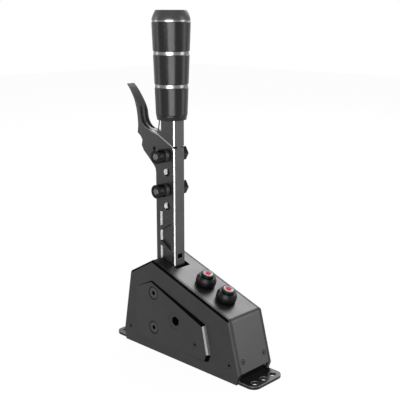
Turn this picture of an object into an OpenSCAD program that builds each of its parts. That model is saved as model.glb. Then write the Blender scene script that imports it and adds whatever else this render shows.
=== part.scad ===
// Sequential gear shifter for a driving rig: a lever with a knurled grip and a
// trigger paddle, pivoting in a narrow case that bolts down by its two end tabs.
// X runs from the rear of the case to the driver, Y runs across it and Z is up.
// The origin is under the middle of the base plate, and sizes are in millimetres.

/* [Base plate] */
// Length over both bolt-down tabs
base_l = 189; // [182:1:220]
// Width of the base plate
base_w = 42; // [40:1:60]
// Thickness of the base plate
base_t = 3; // [2.5:0.5:5]
// Corner radius of the tabs
base_corner_r = 7.5; // [1:0.5:8]
// Diameter of the tab holes, for M6
tab_hole_d = 6.6; // [4:0.1:8]
// Distance between the hole rows of the two tabs
tab_pitch_x = 175; // [172:0.5:178]
// Distance between neighbouring holes in a tab
tab_pitch_y = 12.5; // [10:0.5:15]

/* [Case profile] */
// Thickness of a side plate
side_t = 4; // [3:0.5:6]
// Clear width between the side plates
inner_w = 38.4; // [36:0.4:48]
// Half length of the case at its knee, its longest point
knee_x = 77.8; // [74:0.2:82]
// Height of the knee above the base plate
knee_h = 7; // [5:0.5:10]
// Run of the tuck under the knee
knee_tuck = 2.6; // [0:0.2:4]
// Distance of the front upper corner in front of the middle
front_top_x = 64.6; // [60:0.2:72]
// Height of the front upper corner above the base plate
front_top_h = 55.5; // [50:0.5:62]
// Distance of the ridge behind the middle
ridge_x = 35.2; // [32:0.2:38]
// Height of the ridge above the base plate
ridge_h = 89.8; // [86:0.2:96]
// Distance of the rear upper corner behind the middle
rear_top_x = 66.3; // [62:0.2:70]
// Height of the rear upper corner above the base plate
rear_top_h = 72; // [66:0.5:78]
// Chamfer along the outer top edges of the side plates
edge_chamfer = 1.8; // [0.5:0.1:2.4]

/* [Side relief] */
// Height of the raised panel on each side plate, at its front
relief_h = 3; // [1:0.1:3.4]
// Height of the raised panel below the ridge
relief_ridge_h = 1.2; // [0.3:0.1:1.5]
// Drop of the panel's top edge below the ridge
relief_drop_ridge = 20.1; // [16:0.5:26]
// Drop of the panel's top edge below the slope at its front corner
relief_drop_front = 20.6; // [18:0.2:26]
// Distance of the panel's front upper corner in front of the middle
relief_front_x = 37.2; // [30:0.2:42]
// Distance of the panel's front knee in front of the middle
relief_knee_x = 43.8; // [38:0.2:48]
// Height of the panel's front knee above the base plate
relief_knee_h = 16.1; // [12:0.5:22]
// Height of the panel's lower edge above the base plate
relief_low_h = 8.7; // [6:0.5:11]
// Distance of the panel's rear end behind the middle
relief_rear_x = 58; // [54:0.5:62]

/* [Cover] */
// Thickness of the folded cover sheet
cover_t = 1.5; // [1:0.25:2]
// Gap between the cover and each side plate
cover_gap = 0.2; // [0.1:0.05:0.5]
// Outer bend radius of the cover's front fold, which the side plates follow
cover_bend_r = 5; // [2.5:0.5:6]
// Width of the lever slot across the cover
slot_w = 18; // [16:0.5:22]
// Play between the lever and each end of the slot, at rest
slot_play = 5; // [4.8:0.1:7]

/* [Lever] */
// Distance of the pivot behind the middle
pivot_x = 32; // [31:0.2:33]
// Height of the pivot above the base plate
pivot_h = 57.5; // [56:0.5:60]
// Diameter of the pivot shaft
pivot_d = 10; // [8:0.5:11]
// Swing of the lever each way, in degrees
lever_swing = 6.5; // [4:0.5:7]
// Depth of the lever plates, front to rear
lever_w = 25; // [24:0.5:28]
// Thickness of one lever plate
plate_t = 4; // [3:0.5:5]
// Thickness of the handle bar's tongue between the plates
tongue_t = 6; // [4:0.5:6.5]
// Depth of the handle bar, front to rear
bar_w = 17.5; // [16:0.5:19]
// Chamfer down the front edges of the plates and the bar
lever_chamfer = 0.9; // [0.6:0.1:1.8]
// Height of the lower end of the tongue above the pivot block
tongue_low_h = 4.3; // [2:0.1:8]
// Height of the pivot block's top above the base plate
block_top_h = 90.5; // [86:0.5:91.5]
// Height of the lever's lower end above the base plate
tail_h = 11; // [10:0.5:13]
// Height of the stop shaft above the base plate
stop_h = 22; // [20:0.5:24]
// Diameter of the stop shaft
stop_d = 9; // [8:0.5:9.5]
// Thickness of the rubber sleeve on the stop shaft
stop_sleeve_t = 0.8; // [0.5:0.1:1]
// Depth of the pockets in the outer faces of the plates
pocket_depth = 2.8; // [1:0.2:3]

/* [Clamp] */
// Height of the lowest clamp hole above the base plate
clamp_low_h = 141.6; // [139:0.2:143]
// Distance between neighbouring clamp holes
clamp_pitch = 16.57; // [15:0.01:17]
// Distance of the clamp holes behind the bar's front face
clamp_back = 9.9; // [8:0.1:11]
// Diameter of the clamp bolts, M8
bolt_d = 8; // [6:0.5:9]
// Diameter of the bolt heads and spacers
bolt_head_d = 13; // [11:0.5:15]
// Length of a bolt head
bolt_head_l = 8; // [6:0.5:10]
// Length of the spacer under a bolt head
bolt_spacer_l = 4.5; // [3:0.5:8]
// Thickness of the washer next to the plate
bolt_washer_t = 2; // [1:0.5:3]
// Length of a clamp nut
bolt_nut_l = 8; // [6:0.5:10]

/* [Trigger] */
// Distance of the trigger pin behind the middle
trigger_pin_x = 46.6; // [46:0.1:47.2]
// Height of the trigger pin above the base plate
trigger_pin_h = 195.7; // [195:0.1:196.5]
// Diameter of the trigger pin
trigger_pin_d = 4; // [3:0.5:5]
// Radius of the plates' rounded wing round the trigger pin
wing_r = 17.8; // [17.4:0.1:18.2]
// Width of the trigger paddle
trigger_w = 11; // [9:0.5:12]
// Width of the paddle at its tip
trigger_tip_w = 8.6; // [7:0.2:9]
// Running gap between the trigger and the plates
trigger_gap = 0.35; // [0.3:0.05:0.6]
// Width of the rib between the two grooves of the paddle
trigger_rib_w = 2.4; // [1.5:0.1:3.5]
// Wall beside each groove of the paddle
trigger_wall = 1; // [0.8:0.1:1.5]
// Diameter of the return spring's wire
trigger_wire_d = 1.2; // [0.8:0.1:1.6]

/* [Grip] */
// Distance of the grip's axis behind the middle
grip_x = 29.3; // [29:0.1:29.6]
// Height of the grip's lower end above the trigger pin
grip_low_h = 29; // [23:0.5:34]
// Length of the lower collar, a cone
collar_l = 4.2; // [3:0.2:6]
// Smaller diameter of the lower collar
collar_d = 27.8; // [26:0.1:28.8]
// Diameter of the lower sleeve at its bottom
sleeve_low_d = 29.7; // [29.4:0.1:31]
// Growth of the grip's diameter, per millimetre of its height
grip_flare = 0.076; // [0.04:0.001:0.1]
// Length of the lower sleeve
sleeve_low_l = 25.8; // [20:0.2:30]
// Length of the middle sleeve
sleeve_mid_l = 27; // [20:0.2:32]
// Length of the upper sleeve
sleeve_top_l = 26.6; // [20:0.2:32]
// Length of the lower and the middle ring
ring_l = 2.9; // [2:0.1:5]
// Length of the top ring
ring_top_l = 1.5; // [1:0.1:4]
// Step of the rings below the sleeves' surface
ring_step = 0.5; // [0.3:0.1:1]
// Length of the end cap
cap_l = 8.9; // [7:0.1:12]
// Diameter of the cap's flat top
cap_flat_d = 28.7; // [20:0.1:31]
// Diameter of the core inside the sleeves
core_d = 26; // [25.8:0.1:27]

/* [Push buttons] */
// Distance of the upper button down the top slope from the ridge
button_first = 52.4; // [50:0.5:56]
// Distance between the two buttons
button_pitch = 27.5; // [24:0.5:28]
// Diameter of the button collar
collar_w = 19.5; // [17:0.5:22]
// Height of the collar's straight part
collar_h = 5.5; // [4:0.5:7]
// Height of the collar in all
collar_top = 9; // [8:0.5:11]
// Diameter of the collar's top
collar_top_d = 16; // [14.5:0.5:17]
// Diameter of the button's threaded body under the cover
button_body_d = 15.8; // [13:0.2:15.8]
// Length of the button's body under the cover
button_body_l = 17; // [15:0.5:20]
// Diameter of the moving button
button_d = 12; // [11.8:0.1:13]
// Height of the moving button above its collar
button_proud = 2.75; // [2.5:0.05:4]
// Stroke of a button
button_stroke = 1.5; // [1:0.1:2]
// Outer diameter of the silver ring on the button
button_ring_d = 9.6; // [8:0.1:11.4]
// Diameter of the red lens
lens_d = 4.5; // [4:0.1:7]

/* [Centring springs] */
// Height of the spring plungers above the base plate
plunger_h = 37.3; // [36:0.1:38]
// Diameter of a spring plunger
plunger_d = 14; // [12:0.5:15]
// Gap between each plunger's nose and the lever, at rest
plunger_gap = 0.5; // [0.45:0.05:0.6]
// Radius of the plungers' domed noses
nose_r = 9; // [8:0.5:12]
// Wire of the centring springs
spring_wire_d = 1.4; // [1:0.1:1.6]
// Outer diameter of the centring springs
spring_d = 9.6; // [8:0.2:10]
// Turns of each centring spring
spring_turns = 5; // [3:1:5]

/* [Screws] */
// Diameter of the shaft screws, M6
shaft_screw_d = 6; // [5:0.5:6]
// Head diameter of the shaft screws
shaft_screw_head_d = 13.5; // [11:0.5:15]
// Diameter of the small side screws, M4
side_screw_d = 4; // [3:0.5:5]
// Head diameter of the small side screws
side_screw_head_d = 8; // [7:0.5:9]
// Diameter of the cover screws, M3
cover_screw_d = 3; // [2.5:0.5:4]
// Head diameter of the cover screws
cover_screw_head_d = 5.5; // [5:0.5:6.5]
// Distance of the cover screws from the middle plane
cover_screw_y = 14.6; // [12:0.2:15]
// Width across the flats of the hexagonal hole that reaches the spring adjuster
access_hole_d = 8.6; // [8:0.2:11]

/* [Hidden] */
$fn = 64;
// Radial clearance of a screw or pin in its hole
snug = 0.05;
// Clearance between pieces that turn or slide past each other
run = 0.3;
// Reach of the cutting shapes past the part
far = 400;

// Heights above the floor, from the sizes above the base plate
pivot_z = base_t + pivot_h;
stop_z = base_t + stop_h;
tail_z = base_t + tail_h;
plunger_z = base_t + plunger_h;
block_top_z = base_t + block_top_h;
tongue_low_z = block_top_z + tongue_low_h;
trigger_z = base_t + trigger_pin_h;
grip_low_z = trigger_z + grip_low_h;

// The case: corners of its side outline, in X and Z
side_in = inner_w / 2;
side_out = side_in + side_t;
front_knee = [knee_x, base_t + knee_h];
front_top = [front_top_x, base_t + front_top_h];
ridge = [-ridge_x, base_t + ridge_h];
rear_top = [-rear_top_x, base_t + rear_top_h];
rear_knee = [-knee_x, base_t + knee_h];
case_foot_x = knee_x - knee_tuck;
case_outline = [[case_foot_x, 0], [case_foot_x, base_t], front_knee, front_top, ridge, rear_top, rear_knee,
  [-case_foot_x, base_t], [-case_foot_x, 0]];
top_slope = atan2(ridge.y - front_top.y, front_top.x - ridge.x);
rear_slope = atan2(ridge.y - rear_top.y, ridge.x - rear_top.x);
front_lean = atan2(front_knee.x - front_top.x, front_top.y - front_knee.y);
rear_lean = atan2(rear_top.x - rear_knee.x, rear_top.y - rear_knee.y);
function slope_z(x) = ridge.y - (x - ridge.x) * tan(top_slope);
function rear_slope_z(x) = ridge.y - (ridge.x - x) * tan(rear_slope);

// The raised panel: its corners, in X and Z
relief_outline = [
  [relief_knee_x - 3, base_t + relief_low_h],
  [relief_knee_x, base_t + relief_knee_h],
  [relief_front_x, slope_z(relief_front_x) - relief_drop_front],
  [ridge.x, ridge.y - relief_drop_ridge],
  [-relief_rear_x - 7, rear_slope_z(-relief_rear_x - 7) - relief_drop_ridge + 2],
  [-relief_rear_x - 7, base_t + relief_low_h]];

// The cover: its outer line from the front edge up and over to the rear edge
cover_line = [front_knee, front_top, ridge, rear_top, rear_knee];
cover_w = inner_w - 2 * cover_gap;
cover_inner = offset_path(cover_line, cover_t);

// The lever: its faces, front to rear and side to side
lever_front = lever_w / 2 - pivot_x;
lever_rear = -lever_w / 2 - pivot_x;
half_tongue = tongue_t / 2;
half_lever = half_tongue + plate_t;
bar_rear = lever_front - bar_w;
bolt_x = lever_front - clamp_back;
clamp_hole_z = [for (i = [0:3]) base_t + clamp_low_h + i * clamp_pitch];
slot_front = lever_front + slot_play;
slot_rear = lever_rear - slot_play;
stop_arm = pivot_h - stop_h;
stop_half = stop_d / 2 + stop_sleeve_t;
stop_slot = stop_arm * sin(lever_swing) + run;

// The trigger and the plates' upper ends, round the trigger pin
pin = [-trigger_pin_x, trigger_z];
wing_lo = 169.6;
wing_hi = 107;
wing_arc = [for (i = [0:10]) pin + wing_r * dir(wing_hi + (wing_lo - wing_hi) * i / 10)];
corner_lo = [lever_front, trigger_z - 0.6];
corner_mid = [lever_front - 0.9, trigger_z + 2.7];
shoulder_lo = [lever_front - 3, trigger_z + 4.9];
shoulder_hi = [bar_rear - 4, trigger_z + 14.1];
shoulder_rise = (shoulder_hi.y - shoulder_lo.y) / (shoulder_lo.x - shoulder_hi.x);

// The grip: heights of its joints, from the bottom
sleeve1_z = grip_low_z + collar_l;
ring1_z = sleeve1_z + sleeve_low_l;
sleeve2_z = ring1_z + ring_l;
ring2_z = sleeve2_z + sleeve_mid_l;
sleeve3_z = ring2_z + ring_l;
ring3_z = sleeve3_z + sleeve_top_l;
cap_z = ring3_z + ring_top_l;
grip_top_z = cap_z + cap_l;
bar_top_z = ring3_z - 2;
function grip_d(z) = sleeve_low_d + (z - sleeve1_z) * grip_flare;

// The centring springs: distances from the lever's middle plane
nose_x = lever_w / 2 + plunger_gap;
housing_x = nose_x + 4;
cup_end_x = nose_x + 11;
adjuster_x = cup_end_x + 4.2;
lock_step = 2.7;
plunger_travel = (pivot_h - plunger_h) * lever_swing * PI / 180;

// Functions on points and outlines
function dir(a) = [cos(a), sin(a)];
function unit(v) = v / norm(v);
function left(v) = [-v.y, v.x];
function turn(v, a) = [v.x * cos(a) - v.y * sin(a), v.x * sin(a) + v.y * cos(a)];
function last(v) = v[len(v) - 1];
function reversed(v) = [for (i = [len(v) - 1:-1:0]) v[i]];

// An open line moved to its left by t, with mitred corners
function offset_path(p, t) = let (n = [for (i = [0:len(p) - 2]) left(unit(p[i + 1] - p[i]))])
  [for (i = [0:len(p) - 1])
    i == 0 ? p[0] + t * n[0]
    : i == len(p) - 1 ? p[i] + t * n[i - 1]
    : p[i] + t * (n[i - 1] + n[i]) / (1 + n[i - 1] * n[i])];

// Points of a corner at b, between a and c, rounded to radius r
function corner(a, b, c, r) = let (
    u = unit(a - b),
    v = unit(c - b),
    half = acos(u * v) / 2,
    from = b + u * r / tan(half),
    mid = b + unit(u + v) * r / sin(half),
    side = u.x * v.y - u.y * v.x > 0 ? -1 : 1,
    sweep = side * (180 - 2 * half))
  [for (i = [0:8]) mid + turn(from - mid, sweep * i / 8)];

// An outline with each corner rounded to its radius in r
function rounded(p, r) = let (n = len(p))
  [for (i = [0:n - 1]) each r[i] > 0 ? corner(p[(i + n - 1) % n], p[i], p[(i + 1) % n], r[i]) : [p[i]]];

// A smooth line through the points p, with s steps between two of them
function spline_point(a, b, c, d, t) =
  (2 * b + (c - a) * t + (2 * a - 5 * b + 4 * c - d) * t * t + (3 * b - a - 3 * c + d) * t * t * t) / 2;
function smooth(p, s) = let (n = len(p))
  [for (i = [0:n - 2], k = [0:s - 1])
    spline_point(p[max(i - 1, 0)], p[i], p[i + 1], p[min(i + 2, n - 1)], k / s), last(p)];

// An outline in X and Z, extruded across the part from y0 to y1
module across(outline, y0, y1) {
  translate([0, y1, 0]) rotate([90, 0, 0]) linear_extrude(y1 - y0) polygon(outline);
}

// A round bar across the part at x and z, from y0 to y1
module cross_bar(x, z, d, y0, y1) {
  translate([x, y0, z]) rotate([-90, 0, 0]) cylinder(d = d, h = y1 - y0);
}

// A slot across the part: two round ends, half apart each way along X
module cross_slot(x, z, d, half, y0, y1) {
  for (s = [-1, 1]) cross_bar(x + s * half, z, d, y0, y1);
  translate([x - half, y0, z - d / 2]) cube([2 * half, y1 - y0, d]);
}

// Everything past a 45 degree bevel of width c, along the edge from p to q of a face at y,
// where the face looks toward -Y and its inside lies to the left of the edge
module bevel_cut(p, q, c, y) {
  translate([p.x, y, p.y])
    rotate([0, -atan2(q.y - p.y, q.x - p.x), 0])
      rotate([-45, 0, 0])
        translate([-far / 4, -far / 2, c / sqrt(2) - far / 4])
          cube([far, far, far / 4]);
}

// A countersunk screw with its head's face at the origin, pointing up, with a hex socket
module flat_screw(d, head_d, l, hex) {
  difference() {
    union() {
      cylinder(d = d, h = l);
      cylinder(d1 = head_d, d2 = d, h = (head_d - d) / 2);
    }
    translate([0, 0, -1]) cylinder(d = hex / cos(30), h = 1 + (head_d - d) / 2 * 0.7, $fn = 6);
  }
}

// The room for such a screw
module flat_hole(d, head_d, l) {
  cylinder(d = d + 2 * snug, h = l);
  translate([0, 0, -1]) cylinder(d = head_d, h = 1.001);
  cylinder(d1 = head_d, d2 = d, h = (head_d - d) / 2);
}

// A wound spring of n turns up Z, of outer diameter d and length l, as one unbroken tube
function coil_point(d, wire, l, n, t) = let (a = 360 * n * t)
  [(d - wire) / 2 * cos(a), (d - wire) / 2 * sin(a), wire / 2 + (l - wire) * t];
function coil_frame(a) = [[cos(a), sin(a), 0], [0, 0, 1]];
function coil_ring(d, wire, l, n, t) = let (f = coil_frame(360 * n * t))
  [for (k = [0:5]) coil_point(d, wire, l, n, t) + wire / 2 * (cos(60 * k) * f[0] + sin(60 * k) * f[1])];
module coil(d, wire, l, n) {
  rings = 8 * n;
  pts = [for (i = [0:rings]) each coil_ring(d, wire, l, n, i / rings)];
  walls = [for (i = [0:rings - 1], k = [0:5]) let (a = 6 * i + k, b = 6 * i + (k + 1) % 6)
    each [[a, a + 6, b], [b, a + 6, b + 6]]];
  caps = [for (k = [1:4]) each [[0, k, k + 1], [6 * rings, 6 * rings + k + 1, 6 * rings + k]]];
  polyhedron(pts, concat(walls, caps));
}

// Base plate

// Screws up through the base plate: into the two mount blocks and the two spring housings
base_screw_x = knee_x - 10.8;
base_grip = 8;
base_screw_at = [[base_screw_x, 6], [base_screw_x, -6], [-base_screw_x, 6], [-base_screw_x, -6],
  [front_foot_x(8), 0], [front_foot_x(18), 0], [rear_foot_x(5.5), 5.5], [rear_foot_x(5.5), -5.5]];
function front_foot_x(d) = housing_x - pivot_x + 3 + d - 3;
function rear_foot_x(d) = -housing_x - pivot_x - 3 - d + 1;

// The plate's two tabs are wider than its middle, which lies between the side plates
tab_start = case_foot_x + 0.5;
module base_plate() color("#2b2b2d") difference() {
  linear_extrude(base_t) difference() {
    polygon(rounded([for (p = [[1, -1], [1, 1], [-1, 1], [-1, -1]])
      [p.x * base_l / 2, p.y * base_w / 2]], [for (i = [0:3]) base_corner_r]));
    for (s = [-1, 1]) translate([-tab_start, s * (side_in + far / 2) - far / 2]) square([2 * tab_start, far]);
  }
  for (x = [-1, 1], y = [-1:1])
    translate([x * tab_pitch_x / 2, y * tab_pitch_y, -1]) cylinder(d = tab_hole_d, h = base_t + 2);
  for (p = base_screw_at)
    translate([p.x, p.y, 0]) flat_hole(side_screw_d, side_screw_head_d, base_t + 1);
}

module base_screws() color("#1c1c1e") for (p = base_screw_at)
  translate([p.x, p.y, 0]) flat_screw(side_screw_d, side_screw_head_d, base_t + base_grip, 2.5);

// Side plates

// Screws through the side plates, as [x, z, height of the face that they sit in]
block_screw_x = knee_x - 11.8;
panel_sink = 0.06;
rear_rise = relief_ridge_h / (relief_rear_x + ridge.x);
front_rise = (relief_h - relief_ridge_h) / (relief_knee_x - ridge.x);
shaft_grip = 10;
side_grip = 8;
spacer_d = 8;
shaft_screw_at = [for (z = [pivot_z, stop_z]) [-pivot_x, z, head_at(-pivot_x, shaft_screw_head_d)]];
spacer_at = [relief_front_x - 12, base_t + relief_low_h + 13.1];
side_screw_at = [[block_screw_x, front_knee.y + 6.3, 0], [-block_screw_x - 1.7, front_knee.y + 6.2, 0],
  [spacer_at.x, spacer_at.y, head_at(spacer_at.x, side_screw_head_d)]];
access_at = [adjuster_x + lock_step - pivot_x, plunger_z];
access_ring_d = access_hole_d + 9;

// Height of the panel's face over the plate at x, less a small sink for a screw's head
function panel_at(x) = relief_ridge_h - panel_sink + (x - ridge.x) * (x < ridge.x ? rear_rise : front_rise);

// The lowest of those heights under a screw's head of diameter d at x
function head_at(x, d) = min(panel_at(x - d / 2), panel_at(x + d / 2));

// Places children at x and z on the left face, raised by h, pointing into the case
module on_left_face(x, z, h) {
  translate([x, -side_out - h, z]) rotate([-90, 0, 0]) children();
}

module side_relief() difference() {
  across(relief_outline, -side_out - relief_h, 0.5 - side_out);
  for (i = [0:3]) bevel_cut(relief_outline[i], relief_outline[i + 1], relief_h + 0.25, -side_out - relief_h);
  bevel_cut(last(relief_outline), relief_outline[0], 1, -side_out - relief_h);
  translate([ridge.x, -side_out - relief_ridge_h, 0]) linear_extrude(far)
    polygon([[0, 0], [-50, 50 * rear_rise], [-50, -50], [100, -50], [100, -100 * front_rise]]);
}

module side_plate() color("#333335") difference() {
  union() {
    difference() {
      across(rounded(case_outline, [0, 0, 0, cover_bend_r, 1, 2.5, 1, 0, 0]), -side_out, -side_in);
      bevel_cut(front_top, ridge, edge_chamfer, -side_out);
      bevel_cut(ridge, rear_top, edge_chamfer, -side_out);
      bevel_cut(rear_top, rear_knee, edge_chamfer / 2, -side_out);
      bevel_cut(front_knee, front_top, edge_chamfer * 2 / 3, -side_out);
    }
    side_relief();
  }
  for (p = shaft_screw_at) on_left_face(p.x, p.y, p[2]) flat_hole(shaft_screw_d, shaft_screw_head_d, far / 8);
  for (p = side_screw_at) on_left_face(p.x, p.y, p[2]) flat_hole(side_screw_d, side_screw_head_d, far / 8);
  on_left_face(access_at.x, access_at.y, relief_h + 1) rotate([0, 0, 30])
    cylinder(d = access_hole_d / cos(30), h = side_t + relief_h + 2, $fn = 6);
  on_left_face(access_at.x, access_at.y, relief_h + 1)
    cylinder(d = access_ring_d, h = relief_h + 1.3 - panel_at(access_at.x));
}

module left_side_plate() side_plate();
module right_side_plate() mirror([0, 1, 0]) side_plate();

module both_sides() {
  children();
  mirror([0, 1, 0]) children();
}

module shaft_screws() color("#19191b") both_sides() for (p = shaft_screw_at)
  on_left_face(p.x, p.y, p[2]) flat_screw(shaft_screw_d, shaft_screw_head_d, side_t + p[2] + shaft_grip, 4);

module side_screws() color("#19191b") both_sides() for (p = side_screw_at)
  on_left_face(p.x, p.y, p[2]) flat_screw(side_screw_d, side_screw_head_d, side_t + p[2] + side_grip, 2.5);

module cross_spacer() color("#8a8a8c") difference() {
  cross_bar(spacer_at.x, spacer_at.y, spacer_d, -side_in, side_in);
  both_sides() cross_bar(spacer_at.x, spacer_at.y, side_screw_d + 2 * snug, -side_in - 1, side_grip + 1 - side_in);
}

// Cover, with the blocks that it is screwed to

// Places children on the top slope, d down from the ridge, pointing out of the case
module on_slope(d) {
  translate([ridge.x, 0, ridge.y]) rotate([0, top_slope, 0]) translate([d, 0, 0]) children();
}

// Places children on the front or rear wall at a height above the knee, pointing into the case
module on_front(h, y) {
  translate([front_knee.x - h * tan(front_lean), y, front_knee.y + h]) rotate([0, -90 - front_lean, 0]) children();
}
module on_rear(h, y) {
  translate([rear_knee.x + h * tan(rear_lean), y, rear_knee.y + h]) rotate([0, 90 + rear_lean, 0]) children();
}
cover_screw_h = 9.7;
button_at = [button_first, button_first + button_pitch];
button_hole_d = button_body_d + 0.2;

module top_cover() color("#3a3a3d") difference() {
  across(rounded(concat(cover_line, reversed(cover_inner)),
    [0, cover_bend_r, 2, 2.5, 0, 0, 2.5 - cover_t, 2 - cover_t, cover_bend_r - cover_t, 0]),
    -cover_w / 2, cover_w / 2);
  translate([slot_rear, -slot_w / 2, rear_top.y - 8]) cube([slot_front - slot_rear, slot_w, far / 4]);
  for (d = button_at) on_slope(d) translate([0, 0, -cover_t - 1]) cylinder(d = button_hole_d, h = cover_t + 2);
  for (s = [-1, 1]) {
    on_front(cover_screw_h, s * cover_screw_y) flat_hole(cover_screw_d, cover_screw_head_d, cover_t + 1);
    on_rear(cover_screw_h, s * cover_screw_y) flat_hole(cover_screw_d, cover_screw_head_d, cover_t + 1);
  }
  translate([-knee_x - 1, -usb_w / 2 - run, usb_z - run]) cube([14, usb_w + 2 * run, usb_t + 2 * run]);
}

module cover_screws() color("#19191b") for (s = [-1, 1]) {
  on_front(cover_screw_h, s * cover_screw_y) flat_screw(cover_screw_d, cover_screw_head_d, cover_t + 4, 2);
  on_rear(cover_screw_h, s * cover_screw_y) flat_screw(cover_screw_d, cover_screw_head_d, cover_t + 4, 2);
}

front_block_back = knee_x - 16.8;
rear_block_front = knee_x - 16.8;
block_top = front_knee.y + 14;
function front_inner_x(z) = front_knee.x - (z - front_knee.y) * tan(front_lean) - cover_t / cos(front_lean);
function rear_inner_x(z) = rear_knee.x + (z - rear_knee.y) * tan(rear_lean) + cover_t / cos(rear_lean);

module mount_block_cuts(x, screw) {
  for (p = base_screw_at) translate([p.x, p.y, base_t - 1])
    cylinder(d = side_screw_d + 2 * snug, h = base_grip + 1.5);
  both_sides() cross_bar(screw.x, screw.y, side_screw_d + 2 * snug, -side_in - 1, side_grip + 1 - side_in);
}

module front_mount_block() color("#19191b") difference() {
  across([[front_block_back, base_t], [front_inner_x(front_knee.y) - 1.5, base_t],
    [front_inner_x(front_knee.y), front_knee.y], [front_inner_x(block_top), block_top],
    [front_block_back, block_top]], -side_in, side_in);
  mount_block_cuts(1, side_screw_at[0]);
  for (s = [-1, 1]) on_front(cover_screw_h, s * cover_screw_y)
    cylinder(d = cover_screw_d + 2 * snug, h = cover_t + 4.5);
}

module rear_mount_block() color("#19191b") difference() {
  across([[rear_inner_x(rear_knee.y) + 1.5, base_t], [-rear_block_front, base_t],
    [-rear_block_front, block_top], [rear_inner_x(block_top), block_top],
    [rear_inner_x(rear_knee.y), rear_knee.y]], -side_in, side_in);
  mount_block_cuts(-1, side_screw_at[1]);
  for (s = [-1, 1]) on_rear(cover_screw_h, s * cover_screw_y)
    cylinder(d = cover_screw_d + 2 * snug, h = cover_t + 4.5);
  for (s = [-1, 1]) translate([connector_screw_x, s * connector_screw_y, block_top - 5])
    cylinder(d = board_screw_d + 2 * snug, h = 6);
}

// Pivot and stop

module threaded_shaft(z, d) difference() {
  cross_bar(-pivot_x, z, d, -side_in, side_in);
  both_sides() cross_bar(-pivot_x, z, shaft_screw_d + 2 * snug, -side_in - 1, shaft_grip + 1 - side_in);
}

module pivot_shaft() color("#9a9a9c") threaded_shaft(pivot_z, pivot_d);
module stop_shaft() color("#9a9a9c") threaded_shaft(stop_z, stop_d);

module pivot_spacers() color("#6d6d70") both_sides() difference() {
  cross_bar(-pivot_x, pivot_z, pivot_d + 3, -side_in, -half_lever - run);
  cross_bar(-pivot_x, pivot_z, pivot_d + 2 * snug, -side_in - 1, -half_lever + 1);
}

module stop_sleeve() color("#141414") difference() {
  cross_bar(-pivot_x, stop_z, 2 * stop_half, -half_lever - 2, half_lever + 2);
  cross_bar(-pivot_x, stop_z, stop_d + 2 * snug, -half_lever - 3, half_lever + 3);
}

bearing_d = pivot_d + 5;
module pivot_bearings() color("#b8b8ba") both_sides() difference() {
  cross_bar(-pivot_x, pivot_z, bearing_d, -half_lever, -half_tongue);
  cross_bar(-pivot_x, pivot_z, pivot_d + 2 * snug, -half_lever - 1, 1 - half_tongue);
}

// Centring springs, each in a housing with a plunger in front and an adjuster behind

// Places children with +Z along the spring's axis, away from the lever, on side s
module on_spring_axis(s) {
  translate([-pivot_x, 0, plunger_z]) rotate([0, s * 90, 0]) children();
}
bore_d = plunger_d + 0.2;
housing_wall = 3;
housing_w = plunger_d + 2 * housing_wall;
front_housing_l = 25;
rear_housing_l = 20;
front_housing_end = housing_x + front_housing_l;
rear_housing_end = housing_x + rear_housing_l;
foot_step = 3;
rear_foot_l = 11.5;
adjuster_l = 10;
lock_screw_d = 5;

module housing(s, end, foot_end) difference() {
  translate([-pivot_x, 0, 0]) mirror([s < 0 ? 1 : 0, 0, 0])
    across([[housing_x + foot_step, base_t], [foot_end, base_t], [foot_end, plunger_z - housing_w / 2],
      [end, plunger_z - housing_w / 2], [end, plunger_z + housing_w / 2],
      [housing_x, plunger_z + housing_w / 2], [housing_x, plunger_z - plunger_d / 2 - housing_wall / 2],
      [housing_x + foot_step, plunger_z - housing_w / 2]], -housing_w / 2, housing_w / 2);
  on_spring_axis(s) cylinder(d = bore_d, h = far / 4);
  for (p = base_screw_at) translate([p.x, p.y, base_t - 1]) cylinder(d = side_screw_d + 2 * snug, h = base_grip + 1.5);
  cross_bar(s * (adjuster_x + lock_step) - pivot_x, plunger_z, lock_screw_d + 2 * snug, -housing_w, 1 - plunger_d / 2);
}

module front_spring_housing() color("#6d6d70") housing(1, front_housing_end, front_housing_end);
module rear_spring_housing() color("#6d6d70") housing(-1, rear_housing_end, housing_x + rear_foot_l);

module spring_adjusters() color("#b08d3c") {
  difference() {
    on_spring_axis(1) translate([0, 0, adjuster_x]) cylinder(d = plunger_d, h = adjuster_l);
    on_spring_axis(1) translate([0, 0, adjuster_x + adjuster_l / 2]) cylinder(d = 6 / cos(30), h = adjuster_l, $fn = 6);
  }
  difference() {
    on_spring_axis(-1) translate([0, 0, adjuster_x]) cylinder(d = plunger_d, h = rear_housing_end - adjuster_x);
    on_spring_axis(-1) translate([0, 0, adjuster_x + 2]) cylinder(d = 6 / cos(30), h = 6, $fn = 6);
  }
}

module adjuster_lock_screws() color("#19191b") for (s = [-1, 1]) difference() {
  cross_bar(s * (adjuster_x + lock_step) - pivot_x, plunger_z, lock_screw_d, -housing_w / 2, -plunger_d / 2);
  translate([s * (adjuster_x + lock_step) - pivot_x, -housing_w / 2 - 1, plunger_z]) rotate([-90, 0, 0])
    cylinder(d = 2.5 / cos(30), h = 2.5, $fn = 6);
}

module plunger(s) on_spring_axis(s) difference() {
  intersection() {
    translate([0, 0, nose_x]) cylinder(d = plunger_d, h = cup_end_x - nose_x);
    union() {
      translate([0, 0, nose_x + nose_r]) sphere(r = nose_r, $fn = 96);
      translate([0, 0, nose_x + 3]) cylinder(d = plunger_d, h = cup_end_x);
    }
  }
  translate([0, 0, nose_x + 4]) cylinder(d = spring_d + 0.6, h = cup_end_x);
}

module front_plunger() color("#c9c9cb") plunger(1);
module rear_plunger() color("#c9c9cb") plunger(-1);

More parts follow.
